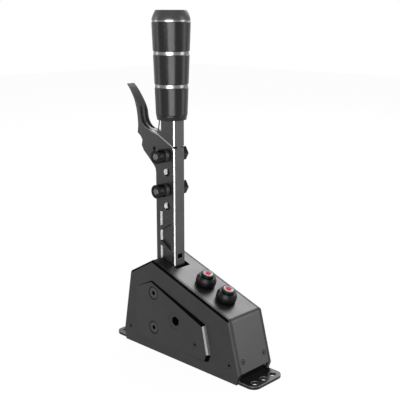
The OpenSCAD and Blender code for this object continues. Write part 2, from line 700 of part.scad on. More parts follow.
spring_l = adjuster_x - nose_x - 4;
echo(centring_spring_gap = (spring_l - spring_wire_d) / spring_turns - spring_wire_d);
module centring_spring(s) on_spring_axis(s) translate([0, 0, nose_x + 4])
  coil(spring_d, spring_wire_d, spring_l, spring_turns);
module front_spring() color("#d2d2d4") centring_spring(1);
module rear_spring() color("#d2d2d4") centring_spring(-1);

// Electronics

board_t = 1.6;
board_z = base_t + 5;
board_screw_d = 2.5;
main_board_x = [front_housing_end - pivot_x + 3, front_block_back - 3];
main_board_w = 30;
main_standoffs = [for (x = [main_board_x[0] + 3.5, main_board_x[1] - 3.5], y = [-11.5, 11.5]) [x, y]];
sensor_standoffs = [for (y = [-8, 8]) [-pivot_x, y]];
connector_screw_y = 14;
connector_screw_x = rear_inner_x(block_top) + 6;
usb_w = 9;
usb_t = 3.2;
usb_z = block_top + board_t;

module board(x0, x1, w, z, holes) difference() {
  translate([x0, -w / 2, z]) cube([x1 - x0, w, board_t]);
  for (p = holes) translate([p.x, p.y, z - 1]) cylinder(d = board_screw_d + 2 * snug, h = board_t + 2);
}

module main_board() color("#1f5a3a") {
  board(main_board_x[0], main_board_x[1], main_board_w, board_z, main_standoffs);
  translate([(main_board_x[0] + main_board_x[1]) / 2 - 5, -5, board_z + board_t - 0.01]) cube([10, 10, 1.2]);
}

module sensor_board() color("#1f5a3a") {
  board(-pivot_x - 7, 7 - pivot_x, 24, board_z, sensor_standoffs);
  translate([-pivot_x - 2, -2, board_z + board_t - 0.01]) cube([4, 4, 1]);
}

module connector_board() color("#1f5a3a") board(rear_inner_x(block_top) + 1.2, -rear_block_front - 0.5, 34,
  block_top, [for (s = [-1, 1]) [connector_screw_x, s * connector_screw_y]]);

module board_standoffs() color("#b9a26a") for (p = concat(main_standoffs, sensor_standoffs))
  translate([p.x, p.y, base_t]) difference() {
    cylinder(d = 5, h = board_z - base_t);
    translate([0, 0, 1]) cylinder(d = board_screw_d + 2 * snug, h = board_z);
  }

module pan_screw(l) {
  cylinder(d = board_screw_d, h = l);
  translate([0, 0, l]) cylinder(d = 4.5, h = 1.6);
}

module board_screws() color("#c4c4c6") {
  for (p = concat(main_standoffs, sensor_standoffs)) translate([p.x, p.y, base_t + 1.5])
    pan_screw(board_z + board_t - base_t - 1.5);
  for (s = [-1, 1]) translate([connector_screw_x, s * connector_screw_y, block_top - 4]) pan_screw(4 + board_t);
}

module usb_socket() color("#c4c4c6") difference() {
  translate([rear_inner_x(usb_z) - 1, -usb_w / 2, usb_z]) cube([8.5, usb_w, usb_t]);
  translate([rear_inner_x(usb_z) - 2, -usb_w / 2 + 0.5, usb_z + 0.5]) cube([7.5, usb_w - 1, usb_t - 1]);
}

// Push buttons on the top slope

body_wall_d = button_d + 0.3;
cap_low = collar_top - 7;
module button_body() difference() {
  union() {
    cylinder(d1 = collar_w - 2.6, d2 = collar_w, h = 1.6);
    translate([0, 0, 1.59]) cylinder(d = collar_w, h = collar_h - 1.59);
    translate([0, 0, collar_h]) cylinder(d1 = collar_w, d2 = collar_top_d, h = collar_top - collar_h);
    translate([0, 0, -button_body_l]) cylinder(d = button_body_d, h = button_body_l + 0.01);
  }
  translate([0, 0, 2 - button_body_l]) cylinder(d = body_wall_d, h = far / 4);
}

module button_bodies() color("#161617") for (d = button_at) on_slope(d) button_body();

module button_nuts() color("#b5b5b7") for (d = button_at) on_slope(d)
  translate([0, 0, -cover_t - 3]) difference() {
    cylinder(d = 21, h = 3, $fn = 6);
    translate([0, 0, -1]) cylinder(d = button_body_d + 2 * snug, h = 5);
  }

module button_cap() difference() {
  translate([0, 0, cap_low]) cylinder(d = button_d, h = collar_top + button_proud - cap_low);
  translate([0, 0, collar_top + button_proud - 0.8]) cylinder(d = button_ring_d + 2 * snug, h = 1);
}

module button_ring() difference() {
  translate([0, 0, collar_top + button_proud - 0.8]) cylinder(d = button_ring_d, h = 1);
  translate([0, 0, collar_top + button_proud - 1.8]) cylinder(d = lens_d + 2 * snug, h = 3);
  translate([0, 0, collar_top + button_proud - 0.3]) cylinder(d1 = lens_d, d2 = button_ring_d - 1.4, h = 0.501);
}

module button_lens() translate([0, 0, collar_top + button_proud - 0.8]) cylinder(d = lens_d, h = 0.8);

button_spring_l = cap_low + button_body_l - 2;
echo(button_spring_gap = (button_spring_l - 0.9) / 6 - 0.9);
module button_spring() translate([0, 0, 2 - button_body_l]) coil(9, 0.9, button_spring_l, 6);

module upper_button_cap() color("#101011") on_slope(button_at[0]) button_cap();
module upper_button_ring() color("#a8a8aa") on_slope(button_at[0]) button_ring();
module upper_button_lens() color("#a3262b") on_slope(button_at[0]) button_lens();
module upper_button_spring() color("#d2d2d4") on_slope(button_at[0]) button_spring();
module lower_button_cap() color("#101011") on_slope(button_at[1]) button_cap();
module lower_button_ring() color("#a8a8aa") on_slope(button_at[1]) button_ring();
module lower_button_lens() color("#a3262b") on_slope(button_at[1]) button_lens();
module lower_button_spring() color("#d2d2d4") on_slope(button_at[1]) button_spring();

// Lever

plate_outline = concat(
  [[lever_rear, tail_z], [lever_front, tail_z], corner_lo, corner_mid, shoulder_lo, shoulder_hi],
  wing_arc,
  smooth([last(wing_arc) - [0.4, 1.7], [lever_rear - 17.3, trigger_z - 3.2], [lever_rear - 11.4, trigger_z - 8.5],
    [lever_rear - 3.4, trigger_z - 15.8], [lever_rear - 0.9, trigger_z - 19], [lever_rear, trigger_z - 23]], 4));

// Truss pockets in the outer face of a plate, in X and Z
pocket_rear = lever_rear + 5.3;
pocket_front = lever_front - 5.3;
pocket_low = ridge.y - 4.3;
pocket_high = clamp_hole_z[0] - bolt_d / 2 - 2.2;
function pocket_z(part) = pocket_low + part * (pocket_high - pocket_low);
pockets = [
  [[pocket_rear, pocket_z(0)], [pocket_front, pocket_z(0.14)], [pocket_front, pocket_z(0.156)],
    [pocket_rear, pocket_z(0.33)]],
  [[pocket_rear, pocket_z(0.417)], [pocket_front, pocket_z(0.24)], [pocket_front, pocket_z(0.8)],
    [pocket_rear, pocket_z(0.617)]],
  [[pocket_rear, pocket_z(0.687)], [pocket_front, pocket_z(0.87)], [pocket_front, pocket_z(1)],
    [pocket_rear, pocket_z(1)]]];

block_screw_z = [pivot_z - 17.5, pivot_z + 17.5];

// Everything in front of the 45 degree chamfer down an edge at x and y, on the side s of the lever
module front_chamfer_cut(s) {
  translate([lever_front, s * half_lever, 0]) rotate([0, 0, 45])
    cube([lever_chamfer * sqrt(2), lever_chamfer * sqrt(2), far * 2], center = true);
}

module lever_holes() {
  cross_slot(-pivot_x, stop_z, 2 * stop_half + 2 * run, stop_slot, -far / 8, far / 8);
  for (z = clamp_hole_z) cross_bar(bolt_x, z, bolt_d + 2 * snug, -far / 8, far / 8);
  cross_bar(pin.x, pin.y, trigger_pin_d + 2 * snug, -far / 8, far / 8);
}

top_edge = [corner_lo, corner_mid, shoulder_lo, shoulder_hi, wing_arc[0]];
module lever_plate() color("#38383a") difference() {
  across(plate_outline, -half_lever, -half_tongue);
  lever_holes();
  cross_bar(-pivot_x, pivot_z, bearing_d, -far / 8, far / 8);
  front_chamfer_cut(-1);
  for (i = [0:3]) bevel_cut(top_edge[i], top_edge[i + 1], lever_chamfer, -half_lever);
  for (p = pockets) across(rounded(p, [1, 0.3, 0.3, 1]), -half_lever - 1, pocket_depth - half_lever);
  for (z = block_screw_z) translate([-pivot_x, -half_lever, z]) rotate([-90, 0, 0])
    flat_hole(side_screw_d, side_screw_head_d, far / 8);
}

module left_lever_plate() lever_plate();
module right_lever_plate() mirror([0, 1, 0]) lever_plate();

module pivot_block() color("#4a4a4c") difference() {
  translate([lever_rear, -half_tongue, tail_z]) cube([lever_w, tongue_t, block_top_z - tail_z]);
  lever_holes();
  cross_bar(-pivot_x, pivot_z, pivot_d + 2 * run, -far / 8, far / 8);
  for (z = block_screw_z) cross_bar(-pivot_x, z, side_screw_d + 2 * snug, -far / 8, far / 8);
  translate([-pivot_x, 0, tail_z - 1]) cylinder(d = magnet_d + 2 * snug, h = magnet_l + 1);
}

// Each block screw is a bolt and a sleeve nut with two countersunk heads
module block_screws() color("#19191b") for (z = block_screw_z) difference() {
  translate([-pivot_x, -half_lever, z]) rotate([-90, 0, 0]) union() {
    flat_screw(side_screw_d, side_screw_head_d, half_lever, 2.5);
    translate([0, 0, 2 * half_lever]) rotate([180, 0, 0]) flat_screw(side_screw_d, side_screw_head_d,
      half_lever + 0.01, 2.5);
  }
}

magnet_d = 4;
magnet_l = 2.5;
module lever_magnet() color("#b8b8ba") translate([-pivot_x, 0, tail_z]) cylinder(d = magnet_d, h = magnet_l);

// Handle bar

function bar_outline(rear) = [[rear, half_lever], [rear, -half_lever], [lever_front - lever_chamfer, -half_lever],
  [lever_front, lever_chamfer - half_lever], [lever_front, half_lever - lever_chamfer],
  [lever_front - lever_chamfer, half_lever]];

// The bar's shoulder runs along the plates' sloping top edge, and its foot reaches further to the rear
shoulder_gap = 1;
foot_rear = bar_rear - 6;
foot_z = trigger_z + 17.8;
groove_depth = 0.3;
groove_l = 1.2;
function shoulder_z(x) = shoulder_lo.y + (shoulder_lo.x - x) * shoulder_rise + shoulder_gap * norm([1, shoulder_rise]);

module handle_bar() color("#3d3d40") difference() {
  union() {
    translate([bar_rear, -half_tongue, tongue_low_z])
      cube([bar_w, tongue_t, shoulder_hi.y + 5 - tongue_low_z]);
    intersection() {
      union() {
        linear_extrude(bar_top_z) polygon(bar_outline(bar_rear));
        linear_extrude(foot_z) polygon(bar_outline(foot_rear));
      }
      across([[foot_rear - 1, shoulder_z(foot_rear - 1)], [lever_front + 1, shoulder_z(lever_front + 1)],
        [lever_front + 1, far], [foot_rear - 1, far]], -half_lever - 1, half_lever + 1);
    }
  }
  both_sides() translate([foot_rear - 1, groove_depth - half_lever - 1, foot_z + 0.4])
    cube([lever_front - lever_chamfer - foot_rear, 1, groove_l]);
  for (z = clamp_hole_z) cross_bar(bolt_x, z, bolt_d + 2 * snug, -far / 8, far / 8);
  translate([-grip_x, 0, bar_top_z - 12]) cylinder(d = grip_screw_d + 2 * snug, h = 20);
}

// Clamp hardware in the second and fourth holes
bolt_z = [clamp_hole_z[1], clamp_hole_z[3]];
washer_y = -half_lever - bolt_washer_t;
spacer_y = washer_y - bolt_spacer_l;
head_y = spacer_y - bolt_head_l;

module clamp_bolts() color("#1b1b1d") for (z = bolt_z) difference() {
  union() {
    cross_bar(bolt_x, z, bolt_head_d, head_y, spacer_y);
    cross_bar(bolt_x, z, bolt_d, spacer_y - 0.01, half_lever + bolt_nut_l);
  }
  for (x = [bolt_head_d / 2]) translate([bolt_x, head_y, z]) rotate([-90, 0, 0]) translate([0, 0, -0.01])
    cylinder(d = 6 / cos(30), h = bolt_head_l / 2, $fn = 6);
}

module clamp_ring(d, y0, y1) for (z = bolt_z) difference() {
  cross_bar(bolt_x, z, d, y0, y1);
  cross_bar(bolt_x, z, bolt_d + 2 * snug, y0 - 1, y1 + 1);
}

module clamp_spacers() color("#262628") clamp_ring(bolt_head_d, spacer_y, washer_y);
module clamp_washers() color("#101011") clamp_ring(bolt_head_d - 1.4, washer_y, -half_lever);

module clamp_nuts() color("#1b1b1d") for (z = bolt_z) difference() {
  translate([bolt_x, half_lever, z]) rotate([-90, 0, 0]) cylinder(d = 13 / cos(30), h = bolt_nut_l, $fn = 6);
  cross_bar(bolt_x, z, bolt_d + 2 * snug, half_lever - 1, half_lever + bolt_nut_l + 1);
}

// Trigger, drawn round its pin

// Outer and inner curves of the paddle, from the tip down, relative to the pin
paddle_outer = [[-40.6, 58.4], [-37.2, 54.9], [-33.5, 50.2], [-29.5, 43.9], [-26.4, 36], [-25.1, 29.6],
  [-24.4, 22.8], [-24.5, 17.5], [-25.3, 12.9]];
paddle_inner = [[-40.3, 59], [-36.2, 55.6], [-31.4, 50.2], [-27.4, 44.8], [-24.1, 39.6], [-22.1, 34.9],
  [-21.2, 30.1], [-20.4, 26.5], [-18.3, 22.4], [-13.9, 18.8], [-8.3, 17.1]];
cheek_r = wing_r + trigger_gap;
cheek_arc = [for (i = [0:10]) cheek_r * dir(wing_lo - (wing_lo - 115) * i / 10)];
paddle_outline = concat(smooth(paddle_outer, 4), [[-20.7, 9.5], [-18.4, 6]], cheek_arc,
  reversed(smooth(paddle_inner, 4)));

// Floor and mouth of the two grooves, relative to the pin
groove_outline = concat(smooth([[-24.7, 41.8], [-24.3, 36], [-23.8, 30], [-22.5, 22.8], [-19.2, 16.8], [-13.6, 15.4],
  [-8.6, 18.4]], 4), [[-8, 26], [-17, 34], [-20, 43]]);

module at_pin() {
  translate([pin.x, 0, pin.y]) children();
}

tongue_half = half_tongue - run;
module trigger() color("#434346") at_pin() difference() {
  union() {
    across(paddle_outline, -trigger_w / 2, trigger_w / 2);
    across(concat([for (i = [0:12]) 5 * dir(220 + 110 * i / 12)], [[-1.4, 10], [-0.8, 14.4], [-1.2, 15.9],
      [-2.6, 16.6], [-8.3, 17.2], [-14, 16], [-18.6, 9], [-18.6, 3.6], [-10, 0]]), -tongue_half, tongue_half);
    cross_bar(0, 0, 10, -tongue_half, tongue_half);
  }
  both_sides() rotate([90, 0, 90]) translate([0, 0, -far / 4]) linear_extrude(far / 2)
    polygon([[trigger_w / 2, 34], [far / 8, 34], [far / 8, 62], [trigger_tip_w / 2, 62]]);
  cross_bar(0, 0, trigger_pin_d + 2 * snug, -far / 8, far / 8);
  both_sides() across(groove_outline, -trigger_w / 2 + trigger_wall, -trigger_rib_w / 2);
}

// The pin's ends lie below the plates' faces
pin_sink = 1;
module trigger_pin() color("#19191b") cross_bar(pin.x, pin.y, trigger_pin_d, pin_sink - half_lever, half_lever - pin_sink);

// The return spring is a bent wire: it stands over the trigger's tongue and sits in the grip's collar
wire_low = pin + [-1.3, 16.35 + trigger_gap];
wire_bend = [-grip_x - collar_d / 2 - 2.65, grip_low_z + 0.2];
wire_seat = 6;
wire_top = wire_bend + wire_seat * unit([3.5, 2]);

// A round wire from p to q in the middle plane
module wire_leg(p, q, d) {
  translate([p.x, 0, p.y]) rotate([0, atan2(q.x - p.x, q.y - p.y), 0]) cylinder(d = d, h = norm(q - p));
}

module trigger_spring() color("#2a2a2c") {
  wire_leg(wire_low, wire_bend, trigger_wire_d);
  wire_leg(wire_bend, wire_top, trigger_wire_d);
  translate([wire_bend.x, 0, wire_bend.y]) sphere(d = trigger_wire_d + 0.16);
}

module trigger_sensor() color("#1f5a3a") across([[pin.x - 3, pin.y - 13.5], [pin.x + 4.5, pin.y - 13.5],
  [pin.x + 4.5, pin.y - 6], [pin.x - 3, pin.y - 6]], -half_tongue, half_tongue);

// Grip, round its own axis

module on_grip() {
  translate([-grip_x, 0, 0]) children();
}

// A turned sleeve from z0 to z1, following the grip's flare, with chamfered ends
module sleeve(z0, z1) {
  r0 = grip_d(z0) / 2;
  r1 = grip_d(z1) / 2;
  rotate_extrude($fn = 96) polygon([[core_d / 2, z0], [r0 - ring_step, z0], [r0, z0 + ring_step * 1.2],
    [r1, z1 - ring_step], [r1 - ring_step, z1], [core_d / 2, z1]]);
}

module grip_ring(z0, z1) {
  r = grip_d((z0 + z1) / 2) / 2 - ring_step;
  rotate_extrude($fn = 96) polygon([[core_d / 2, z0], [r, z0], [r, z1], [core_d / 2, z1]]);
}

grip_screw_d = 6;
bar_fit = 2 * snug;

module bar_hole(z0, z1) {
  translate([bar_rear - snug, -half_lever - snug, z0]) cube([bar_w + bar_fit, 2 * half_lever + bar_fit, z1 - z0]);
}

module grip_core() color("#202022") difference() {
  on_grip() translate([0, 0, sleeve1_z]) cylinder(d = core_d, h = cap_z - sleeve1_z, $fn = 96);
  bar_hole(sleeve1_z - 1, bar_top_z);
  on_grip() cylinder(d = grip_screw_d + 2 * snug, h = far);
}

module grip_collar() color("#2c2c2e") difference() {
  on_grip() translate([0, 0, grip_low_z])
    cylinder(d1 = collar_d, d2 = sleeve_low_d - ring_step, h = collar_l, $fn = 96);
  bar_hole(grip_low_z - 1, sleeve1_z + 1);
  wire_leg(wire_bend, wire_bend + (wire_seat + 0.2) * unit(wire_top - wire_bend), trigger_wire_d + 2 * snug);
}

module grip_sleeves() color("#232325") on_grip() {
  sleeve(sleeve1_z, ring1_z);
  sleeve(sleeve2_z, ring2_z);
  sleeve(sleeve3_z, ring3_z);
}

module grip_rings() color("#b9b9bb") on_grip() {
  grip_ring(ring1_z, sleeve2_z);
  grip_ring(ring2_z, sleeve3_z);
  grip_ring(ring3_z, cap_z);
}

cap_d = grip_d(cap_z) - ring_step;
cap_inset = (cap_d - cap_flat_d) / 2;
module grip_cap() color("#232325") on_grip() difference() {
  rotate_extrude($fn = 96) polygon(concat([[0, cap_z]],
    [for (i = [0:8]) [cap_d / 2 - cap_inset * pow(i / 8, 1.5), cap_z + cap_l * i / 8]], [[0, grip_top_z]]));
  translate([0, 0, cap_z - 1]) cylinder(d = 11, h = 5.5);
}

module grip_screw() color("#19191b") on_grip() difference() {
  union() {
    translate([0, 0, bar_top_z - 10]) cylinder(d = grip_screw_d, h = cap_z - bar_top_z + 10);
    translate([0, 0, cap_z]) cylinder(d = 10, h = 4);
  }
  translate([0, 0, cap_z + 1.5]) cylinder(d = 5 / cos(30), h = 3, $fn = 6);
}

base_plate();
left_side_plate();
right_side_plate();
top_cover();
front_mount_block();
rear_mount_block();
cross_spacer();
base_screws();
shaft_screws();
side_screws();
cover_screws();
pivot_shaft();
pivot_spacers();
stop_shaft();
stop_sleeve();
front_spring_housing();
rear_spring_housing();
spring_adjusters();
adjuster_lock_screws();
front_plunger();
rear_plunger();
front_spring();
rear_spring();
main_board();
sensor_board();
connector_board();
board_standoffs();
board_screws();
usb_socket();
button_bodies();
button_nuts();
upper_button_cap();
upper_button_ring();
upper_button_lens();
upper_button_spring();
lower_button_cap();
lower_button_ring();
lower_button_lens();
lower_button_spring();
left_lever_plate();
right_lever_plate();
pivot_block();
block_screws();
pivot_bearings();
lever_magnet();
handle_bar();
clamp_bolts();
clamp_spacers();
clamp_washers();
clamp_nuts();
trigger();
trigger_pin();
trigger_spring();
trigger_sensor();
grip_core();
grip_collar();
grip_sleeves();
grip_rings();
grip_cap();
grip_screw();
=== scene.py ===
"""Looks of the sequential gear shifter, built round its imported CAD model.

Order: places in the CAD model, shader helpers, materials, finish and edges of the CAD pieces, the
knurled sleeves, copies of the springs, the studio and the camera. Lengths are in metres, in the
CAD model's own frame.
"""

import math

import bmesh
import bpy
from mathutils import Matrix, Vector


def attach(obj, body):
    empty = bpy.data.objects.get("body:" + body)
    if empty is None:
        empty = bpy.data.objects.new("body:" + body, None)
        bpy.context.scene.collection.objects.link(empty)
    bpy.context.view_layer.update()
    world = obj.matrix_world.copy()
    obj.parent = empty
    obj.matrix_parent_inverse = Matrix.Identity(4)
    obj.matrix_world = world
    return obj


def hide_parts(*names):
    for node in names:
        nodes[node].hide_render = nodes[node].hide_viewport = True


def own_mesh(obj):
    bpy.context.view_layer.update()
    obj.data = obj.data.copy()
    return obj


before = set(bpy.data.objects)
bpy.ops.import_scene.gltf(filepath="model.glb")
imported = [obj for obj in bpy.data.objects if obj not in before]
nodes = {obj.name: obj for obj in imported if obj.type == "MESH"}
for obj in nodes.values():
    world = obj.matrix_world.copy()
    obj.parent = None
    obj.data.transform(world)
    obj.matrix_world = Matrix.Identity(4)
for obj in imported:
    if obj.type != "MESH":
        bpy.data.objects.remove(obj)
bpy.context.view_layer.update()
scene = bpy.context.scene

MM = 0.001
SIDE_PLATES = ("left_side_plate", "right_side_plate")
LEVER_PLATES = ("left_lever_plate", "right_lever_plate")

# Places on the lever
LEVER_FRONT = -19.5 * MM  # x of its front
FRONT_REACH = 1.5 * MM  # how far behind it a face still counts as front
BORE_REACH = 2 * MM  # how far behind it the walls of bores and windows begin
HALF_TONGUE = 3 * MM  # half the gap between its plates
SLOT_LEVEL = 87 * MM  # where it enters the case; below it the lever's faces are painted shade, nearly black
NOTCH_LEVEL = 150 * MM  # the notch between bar and pivot block is under this level
BORE_LEVELS = (60 * MM, 192 * MM)
SHOULDER_LEVEL = 190 * MM  # from here up the plates' slanting bevels are lighter: painted highlight
CORNER_LEVEL = 196 * MM  # the plates' upper corner is above this level
CORNER_BACK = -42 * MM  # and in front of this x

# Places on the side plates
PANEL_END = 50 * MM  # x that divides the panel's front bevel from the plate's
PANEL_SPLIT = 24.7 * MM  # distance from the middle plane at which the panel's front bevel turns from painted shade to painted highlight

# Axes of the screws and of the access hole: they run along the direction that their mask drops
ACROSS = (1, 0, 1)
ALONG = (0, 1, 1)
SHAFT_AXES = [(-0.032, 0, 0.0605), (-0.032, 0, 0.025)]
SIDE_AXES = [(0.066, 0, 0.0163), (-0.0677, 0, 0.0162), (0.0252, 0, 0.0248)]
BOLT_AXES = [(-0.0294, 0, 0.1612), (-0.0294, 0, 0.1943)]
ACCESS_AXES = [(-0.0011, 0, 0.0403)]
COVER_AXES = [(0, -0.0146, 0.0197), (0, 0.0146, 0.0197)]

# Radii within which a face belongs to a socket or to the access hole, and y of the bolts' sockets
SHAFT_SOCKET_R = 2.2 * MM
SIDE_SOCKET_R = 1.4 * MM
COVER_SOCKET_R = 1.3 * MM
BOLT_SOCKET_R = 4.4 * MM
BOLT_SOCKET_Y = (-21.4 * MM, -17 * MM)
ACCESS_R = 4.5 * MM

# The colour sockets of a Mix node, whose names are also those of its number sockets
MIX_A, MIX_B, MIX_RESULT = 6, 7, 2


# Shader helpers

def srgb(value):
    """A grey or colour of 0 to 255 as the linear values that a shader takes."""
    values = value if isinstance(value, (tuple, list)) else (value, value, value)
    linear = []
    for v in values:
        c = v / 255
        linear.append(c / 12.92 if c <= 0.04045 else ((c + 0.055) / 1.055) ** 2.4)
    return (*linear, 1.0)


def scaled(colour, factor):
    """The colour times factor, its alpha kept."""
    return tuple(c * factor for c in colour[:3]) + (1,)


class Shader:
    """A Principled material with object coordinates, to which textures are wired."""

    def __init__(self, name, metallic=0.0, roughness=0.5, specular=0.5, coat=0.0, shade_below=None):
        self.shade_below = shade_below
        self.material = bpy.data.materials.new(name)
        self.material.use_nodes = True
        self.tree = self.material.node_tree
        self.bsdf = self.tree.nodes["Principled BSDF"]
        self.bsdf.inputs["Metallic"].default_value = metallic
        self.bsdf.inputs["Roughness"].default_value = roughness
        self.bsdf.inputs["Specular IOR Level"].default_value = specular
        self.bsdf.inputs["Coat Weight"].default_value = coat
        self.coords = self.tree.nodes.new("ShaderNodeTexCoord").outputs["Object"]

    def node(self, kind, **values):
        n = self.tree.nodes.new(kind)
        for key, value in values.items():
            setattr(n, key, value)
        return n

    def link(self, a, b):
        self.tree.links.new(a, b)

    def noise(self, scale, detail, stretch=None):
        """Fac of a noise, scale in repeats per metre, stretched along one axis."""
        n = self.node("ShaderNodeTexNoise")
        n.inputs["Scale"].default_value = scale
        n.inputs["Detail"].default_value = detail
        source = self.coords
        if stretch:
            mapping = self.node("ShaderNodeMapping")
            mapping.inputs["Scale"].default_value = stretch
            self.link(source, mapping.inputs["Vector"])
            source = mapping.outputs["Vector"]
        self.link(source, n.inputs["Vector"])
        return n.outputs["Fac"]

    def coordinate(self, axis):
        """The place along axis X, Y or Z."""
        axes = self.node("ShaderNodeSeparateXYZ")
        self.link(self.coords, axes.inputs[0])
        return axes.outputs[axis]

    def span(self, fac, low, high, start=0.3, end=0.7):
        """Goes from low to high as fac goes from start to end."""
        m = self.node("ShaderNodeMapRange")
        m.inputs["From Min"].default_value = start
        m.inputs["From Max"].default_value = end
        m.inputs["To Min"].default_value = low
        m.inputs["To Max"].default_value = high
        self.link(fac, m.inputs["Value"])
        return m.outputs["Result"]

    def ramp(self, fac, low, high, start=0.35, end=0.65, between=()):
        """Maps a texture to the colours low to high, through the (place, colour) pairs between."""
        r = self.node("ShaderNodeValToRGB")
        r.color_ramp.elements[0].position = start
        r.color_ramp.elements[1].position = end
        r.color_ramp.elements[0].color = low
        r.color_ramp.elements[1].color = high
        for place, colour in between:
            r.color_ramp.elements.new(place).color = colour
        self.link(fac, r.inputs["Fac"])
        return r.outputs["Color"]

    def colour(self, socket):
        """Sets the base colour, with painted shade, nearly black, under self.sunk, the level where the
        lever enters the case.
        """
        if self.shade_below is not None:
            above = self.span(self.coordinate("Z"), 0, 1, self.shade_below - 0.5 * MM, self.shade_below + 0.3 * MM)
            mix = self.node("ShaderNodeMix", data_type="RGBA")
            self.link(above, mix.inputs["Factor"])
            mix.inputs[MIX_A].default_value = srgb(3)
            self.link(socket, mix.inputs[MIX_B])
            socket = mix.outputs[MIX_RESULT]
        self.link(socket, self.bsdf.inputs["Base Color"])

    def rough(self, socket):
        self.link(socket, self.bsdf.inputs["Roughness"])

    def bump(self, fac, height, strength):
        """Raises the surface by the texture, over a height in metres."""
        b = self.node("ShaderNodeBump")
        b.inputs["Strength"].default_value = strength
        b.inputs["Distance"].default_value = height
        self.link(fac, b.inputs["Height"])
        self.link(b.outputs["Normal"], self.bsdf.inputs["Normal"])


def coated(name, grey, roughness, specular=0.5, grain=900, depth=0.04 * MM, shade_below=None):
    """Dark coated metal: fine sand-blasted grain under an even coat, with faint handling marks."""
    s = Shader(name, roughness=roughness, specular=specular, shade_below=shade_below)
    marks = 1.08
    smears = 0.04
    low = scaled(srgb(grey), 1 / marks)
    high = scaled(srgb(grey), marks)
    s.colour(s.ramp(s.noise(scale=60, detail=4), low, high))
    s.rough(s.span(s.noise(scale=35, detail=3), roughness - smears, roughness + smears))
    s.bump(s.noise(grain, detail=2), depth, strength=0.5)
    return s.material


def ringed(name, grey, rim, centres, gap, mask=ACROSS, beyond=False):
    """The coat of flat heads, with a dark ring of painted shade round each screw's axis, where the gap at
    the head's edge lies.

    gap is the gap's inner and outer radius. Past it the coat goes on where beyond is true; otherwise the
    painted shade goes on.
    """
    s = Shader(name, roughness=0.36, specular=0.12)
    flat = s.node("ShaderNodeVectorMath", operation="MULTIPLY")
    s.link(s.coords, flat.inputs[0])
    flat.inputs[1].default_value = mask
    nearest = None
    for centre in centres:
        away = s.node("ShaderNodeVectorMath", operation="DISTANCE")
        s.link(flat.outputs["Vector"], away.inputs[0])
        away.inputs[1].default_value = centre
        if nearest is None:
            nearest = away.outputs["Value"]
            continue
        smaller = s.node("ShaderNodeMath", operation="MINIMUM")
        s.link(nearest, smaller.inputs[0])
        s.link(away.outputs["Value"], smaller.inputs[1])
        nearest = smaller.outputs["Value"]
    blend = 0.25
    dark = [(place, srgb(rim)) for place in (blend, 1 - blend)]
    past = srgb(grey if beyond else rim)
    s.colour(s.ramp(s.span(nearest, 0, 1, *gap), srgb(grey), past, start=0, end=1, between=dark))
    s.bump(s.noise(scale=900, detail=2), 0.01 * MM, strength=0.4)
    return s.material


def lit_and_shaded_bevel(name, high, low, split):
    """A coated bevel with painted light: its outer part, past split from the middle plane, is a painted
    highlight, lighter than its foot, which is painted shade.
    """
    s = Shader(name, roughness=0.38, specular=0.3)
    blend = 0.25 * MM
    side = s.node("ShaderNodeMath", operation="ABSOLUTE")
    s.link(s.coordinate("Y"), side.inputs[0])
    outer = s.span(side.outputs["Value"], 0, 1, split - blend, split + blend)
    s.colour(s.ramp(outer, srgb(low), srgb(high), start=0, end=1))
    return s.material


def metal(name, grey, roughness, brush=(1, 1, 1), metallic=1.0, shade_below=None):
    """Bare metal with fine turning or brushing marks along one axis."""
    s = Shader(name, metallic=metallic, roughness=roughness, shade_below=shade_below)
    base = srgb(grey)
    smears = 0.15 * roughness
    s.colour(s.ramp(s.noise(scale=400, detail=3, stretch=brush), scaled(base, 0.9), base))
    s.rough(s.span(s.noise(scale=250, detail=2, stretch=brush), roughness - smears, roughness + smears))
    s.bump(s.noise(scale=1500, detail=2, stretch=brush), 0.01 * MM, strength=0.4)
    return s.material


def plastic(name, colour, roughness, specular=0.5, coat=0.0, emit=0.0):
    """Moulded plastic with a slight unevenness."""
    s = Shader(name, roughness=roughness, specular=specular, coat=coat)
    base = srgb(colour)
    s.colour(s.ramp(s.noise(scale=120, detail=2), scaled(base, 0.92), base))
    s.bump(s.noise(scale=700, detail=2), 0.01 * MM, strength=0.3)
    # emit makes the plastic glow, with no lamp in it: painted light
    if emit:
        s.bsdf.inputs["Emission Color"].default_value = base
        s.bsdf.inputs["Emission Strength"].default_value = emit
    return s.material


# Materials of the case and its screws

SMOOTH = 0.01 * MM
FINE = 0.02 * MM
CASE = coated("case_coat", 29, 0.38, specular=0.2, depth=FINE)
COVER = coated("cover_coat", 4, 0.34, specular=0.56, depth=SMOOTH)
# Case edges: lighter, for wear and a painted highlight
CASE_EDGE = coated("case_edge_wear_and_highlight", 60, 0.35, specular=0.4)
# Side plates' chamfers that face up or down: painted shade and painted dark reflection, near black
CHAMFER_DARK = coated("case_chamfer_painted_shade", 5, 0.6, specular=0.0)
# Side plates' chamfers that face forward, at the case's front: painted highlight, lighter than the coat
CHAMFER_SOFT = coated("case_chamfer_painted_highlight", 46, 0.55, specular=0.12)
# The panel's front bevel: painted highlight on its outer part, painted shade at its foot
PANEL_FRONT = lit_and_shaded_bevel("panel_front_painted_light", 108, 6, PANEL_SPLIT)
# Painted shade, near black: screw sockets, the access hole, the gap between the lever's plates, the notch,
# the plates' upper corner and the parts seen inside the case
HOLLOW = coated("painted_hollow_shade", 4, 0.6, specular=0.0)
BASE = coated("base_coat", 6, 0.26, specular=0.24, depth=FINE)
# Base edges: lighter, for wear and a painted highlight
BASE_EDGE = coated("base_edge_wear_and_highlight", 84, 0.3, specular=0.5)
HOUSING = coated("housing_coat", 8, 0.5, specular=0.08)
SCREW = coated("black_oxide", 4, 0.22, specular=0.12, grain=1400, depth=SMOOTH)
# Screw edges: lighter, for wear and a painted highlight
SCREW_EDGE = coated("black_oxide_edge_wear_and_highlight", 30, 0.28, specular=0.4)
